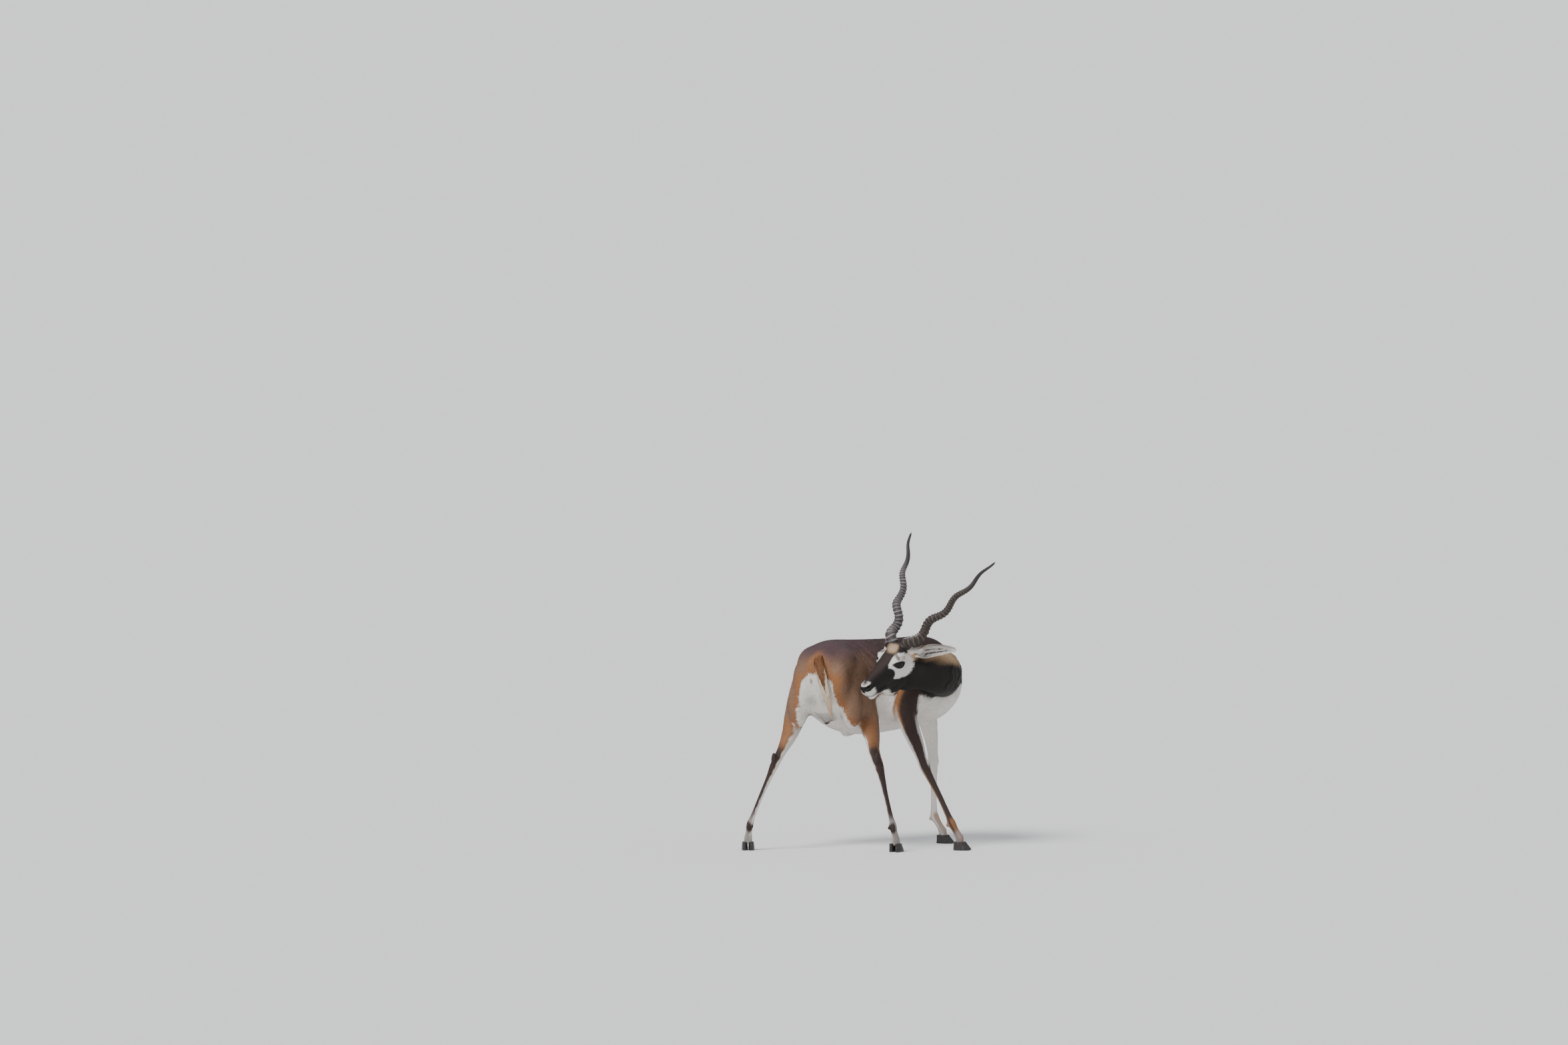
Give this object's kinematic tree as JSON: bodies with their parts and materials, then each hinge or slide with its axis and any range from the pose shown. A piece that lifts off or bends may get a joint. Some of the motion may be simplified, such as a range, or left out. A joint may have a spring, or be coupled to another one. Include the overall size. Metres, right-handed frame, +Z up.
{
  "type": "blackbuck",
  "caption": "Life-size male blackbuck antelope, standing with its legs spread and its head turned back over its right side, with long ringed spiral horns.",
  "frame": {"origin": "on the floor, at the bottom centre of the whole animal's bounding box", "axes": "+Z up from the floor; +Y away from the picture's viewer, who stands behind the animal; +X to that viewer's right, the side that the neck bends out to"},
  "size_m": [0.8386, 0.4778, 1.0485],
  "materials": {
    "dark_coat": "short dark brown coat over skin, matte with a soft sheen",
    "brown_coat": "short rust brown coat over skin, matte",
    "pale_coat": "thin white to buff hair over skin, matte",
    "horn": "ringed grey brown horn, slightly worn",
    "hoof": "dark hoof horn, satin",
    "eye": "wet dark brown eye, polished"
  },
  "bodies": {
    "root": {"head": "dark_coat", "neck": "dark_coat", "torso": "dark_coat", "tail": "brown_coat", "leg_hind_right": "brown_coat", "leg_hind_left": "brown_coat", "leg_fore_right": "brown_coat", "leg_fore_left": "brown_coat", "eye_right": "eye", "eye_left": "eye", "ear_right": "pale_coat", "ear_left": "pale_coat", "horn_right": "horn", "horn_left": "horn", "claw_hind_right_right": "hoof", "claw_hind_right_left": "hoof", "claw_hind_left_right": "hoof", "claw_hind_left_left": "hoof", "claw_fore_right_right": "hoof", "claw_fore_right_left": "hoof", "claw_fore_left_right": "hoof", "claw_fore_left_left": "hoof"}
  },
  "joints": []
}
